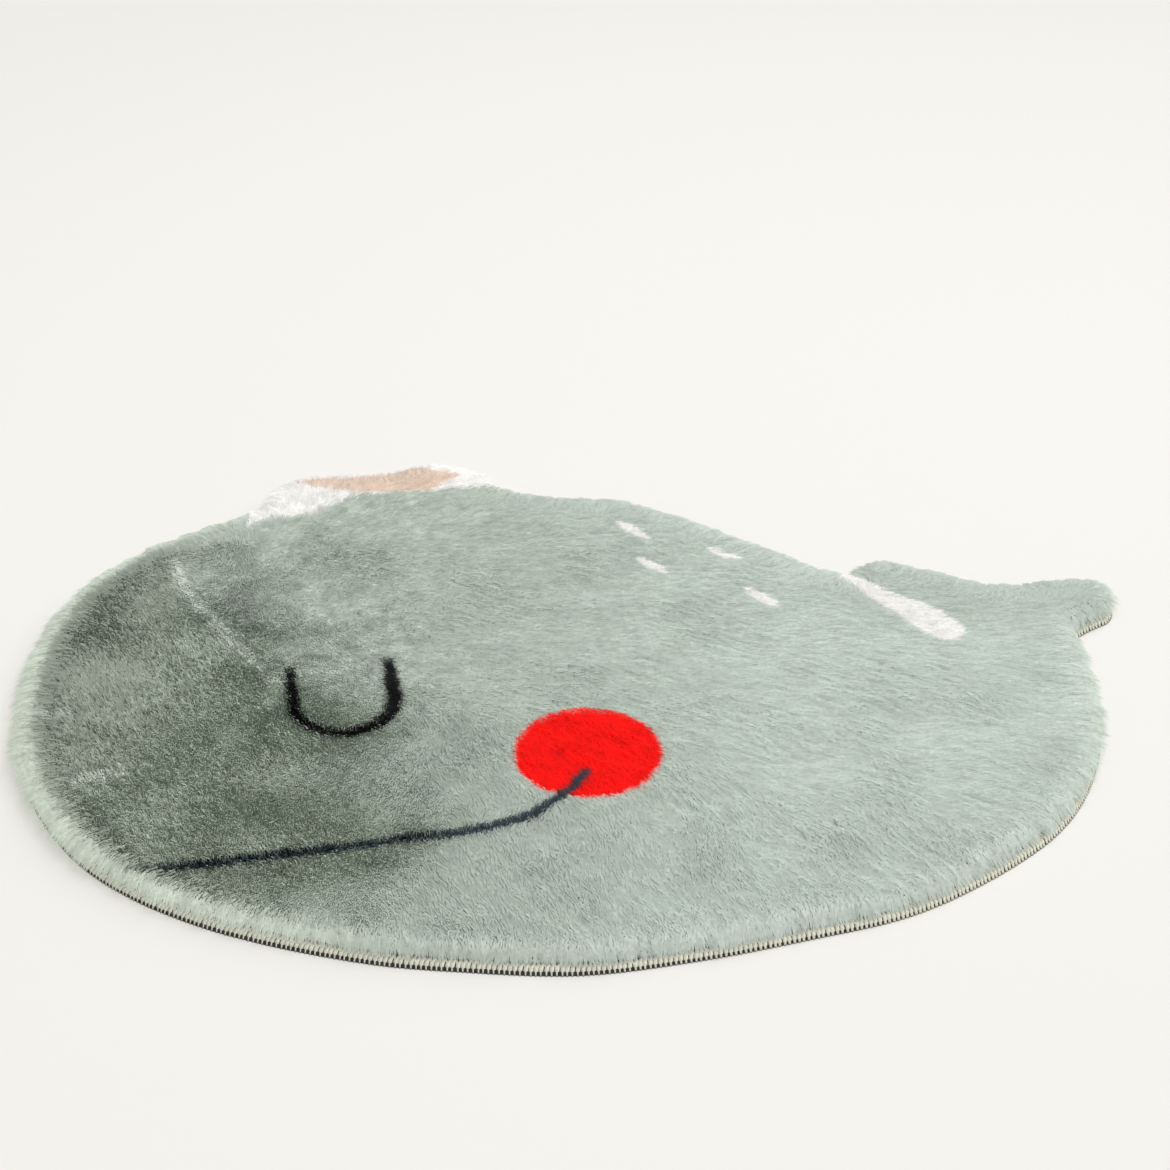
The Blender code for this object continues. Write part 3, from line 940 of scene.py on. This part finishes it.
def make_overlock(edge, fuzz):
    """Every stitch of the overlock: one thread over and under the edge, and one back."""
    rng = np.random.default_rng(5)
    number = round(edge.length / STITCH_PITCH)
    start = np.arange(number) * edge.length / number
    step = (start / edge.length * edge.count).astype(int)
    spots, corners, sizes = [], [], []
    offset = 0
    for path in (OVER_THREAD, BACK_THREAD):
        form = stitch_form(path)
        rings = len(path)
        count = rings * THREAD_SIDES
        middle = np.repeat(form.mean(axis=1), THREAD_SIDES, axis=0)
        form = form.reshape(count, 3)
        broad = 1 + BROADER * edge.broad[step][:, None] * (form[:, 2] < FOOT_TOP)
        local = np.broadcast_to(form, (number, count, 3)).copy()
        local[..., 0] = middle[:, 0] + (form - middle)[:, 0] * broad
        local[..., 0] += start[:, None] + rng.normal(0, 0.22 * MM, (number, 1))
        local[..., 1] += edge.swell(step[:, None], local[..., 2])
        local[..., 2] *= 1 + rng.normal(0, 0.02, (number, 1))
        place = edge.at(local[..., 0], local[..., 1])
        spots.append(np.concatenate((place, local[..., 2:]), axis=2).reshape(-1, 3))
        faces = thread_faces(rings)
        sizes.append(np.tile([len(face) for face in faces], number))
        joined = np.concatenate(faces)
        corners.append((joined + offset + count * np.arange(number)[:, None]).ravel())
        offset += number * count
    spots, corners, sizes = map(np.concatenate, (spots, corners, sizes))
    mesh = bpy.data.meshes.new("overlock_stitches")
    mesh.vertices.add(len(spots))
    mesh.vertices.foreach_set("co", spots.ravel())
    mesh.loops.add(len(corners))
    mesh.loops.foreach_set("vertex_index", corners)
    mesh.polygons.add(len(sizes))
    mesh.polygons.foreach_set("loop_start", np.cumsum(sizes) - sizes)
    mesh.update(calc_edges=True)
    mesh.shade_smooth()
    mesh.materials.append(thread_material(fuzz))
    return finish_piece("overlock_stitches", mesh, "thread", "overlock_edge")


# ---------------------------------------------------------------- floor, light and camera
CAMERA_PLACE = (0.003, -1.942, 1.344)
CAMERA_DOWN = 32.116            # degrees
SENSOR = 36                     # millimetres across the frame
FOCAL_LENGTH = 2200 / 1170 * SENSOR     # 2200 pixels, of a frame 1170 pixels wide
FLOOR = (0.90, 0.885, 0.86)
SKY = (1.0, 0.99, 0.975)
SKY_STRENGTH = 0.36
SUNS = (
    # name, towards the light, strength, colour, softness in degrees or None for no shadow
    ("ceiling_fill", (0.1, 0.1, 1.0), 0.80, (1.0, 0.985, 0.96), None),
    ("front_fill", (0.5, -0.9, 0.9), 0.60, (1.0, 0.985, 0.96), None),
    ("right_fill", (1.0, -0.55, 0.22), 0.60, (1.0, 0.99, 0.965), None),
    ("window", (0.8, 0.70, 0.53), 0.75, (0.93, 0.975, 1.0), 45),
)


def make_stage():
    """A plain pale floor that fills the camera's view."""
    bm = bmesh.new()
    bmesh.ops.create_grid(bm, x_segments=1, y_segments=1, size=9.0)
    mesh = bpy.data.meshes.new("floor")
    bm.to_mesh(mesh)
    bm.free()
    floor = bpy.data.objects.new("floor", mesh)
    bpy.context.collection.objects.link(floor)
    material, _, shader = add_material("pale_floor")
    shader.inputs["Base Color"].default_value = (*FLOOR, 1)
    shader.inputs["Roughness"].default_value = 0.9
    mesh.materials.append(material)


def make_light(name, place, size, power):
    """A square lamp at a place in metres, aimed at the rug."""
    data = bpy.data.lights.new(name, "AREA")
    data.size = size
    data.energy = power
    light = bpy.data.objects.new(name, data)
    bpy.context.collection.objects.link(light)
    aim = (Vector((0, 0, 0)) - Vector(place)).to_track_quat("-Z", "Y")
    light.matrix_world = Matrix.Translation(place) @ aim.to_matrix().to_4x4()


def make_sun(name, towards, strength, colour, softness):
    """Light from one side: a wide window, or with softness None bright walls without a shadow."""
    data = bpy.data.lights.new(name, "SUN")
    data.energy = strength
    data.color = colour
    data.use_shadow = softness is not None
    data.angle = math.radians(softness or 0)
    light = bpy.data.objects.new(name, data)
    bpy.context.collection.objects.link(light)
    light.rotation_euler = Vector(towards).to_track_quat("Z", "Y").to_euler()


def make_camera():
    """The photo's place, tilt and focal length."""
    data = bpy.data.cameras.new("camera")
    data.lens = FOCAL_LENGTH
    data.sensor_width = SENSOR
    camera = bpy.data.objects.new("camera", data)
    camera.location = CAMERA_PLACE
    camera.rotation_euler = (math.radians(90 - CAMERA_DOWN), 0, 0)
    bpy.context.collection.objects.link(camera)
    bpy.context.scene.camera = camera


def make_world():
    """Even light from all round."""
    world = bpy.data.worlds.new("studio")
    world.use_nodes = True
    background = world.node_tree.nodes["Background"]
    background.inputs["Color"].default_value = (*SKY, 1)
    background.inputs["Strength"].default_value = SKY_STRENGTH
    bpy.context.scene.world = world
    bpy.context.scene.view_settings.view_transform = "Standard"


# ---------------------------------------------------------------- all of it
edge = Edge(cut_edge())
fur = make_fur(edge)
ground = make_pile_ground(edge)
fuzz = fibre_group()
felt = make_felt(edge, fuzz)
stitches = make_overlock(edge, fuzz)

make_stage()
make_world()
make_light("overhead", (0.7, 0.8, 3.2), 2.6, 24)
for sun in SUNS:
    make_sun(*sun)
make_camera()
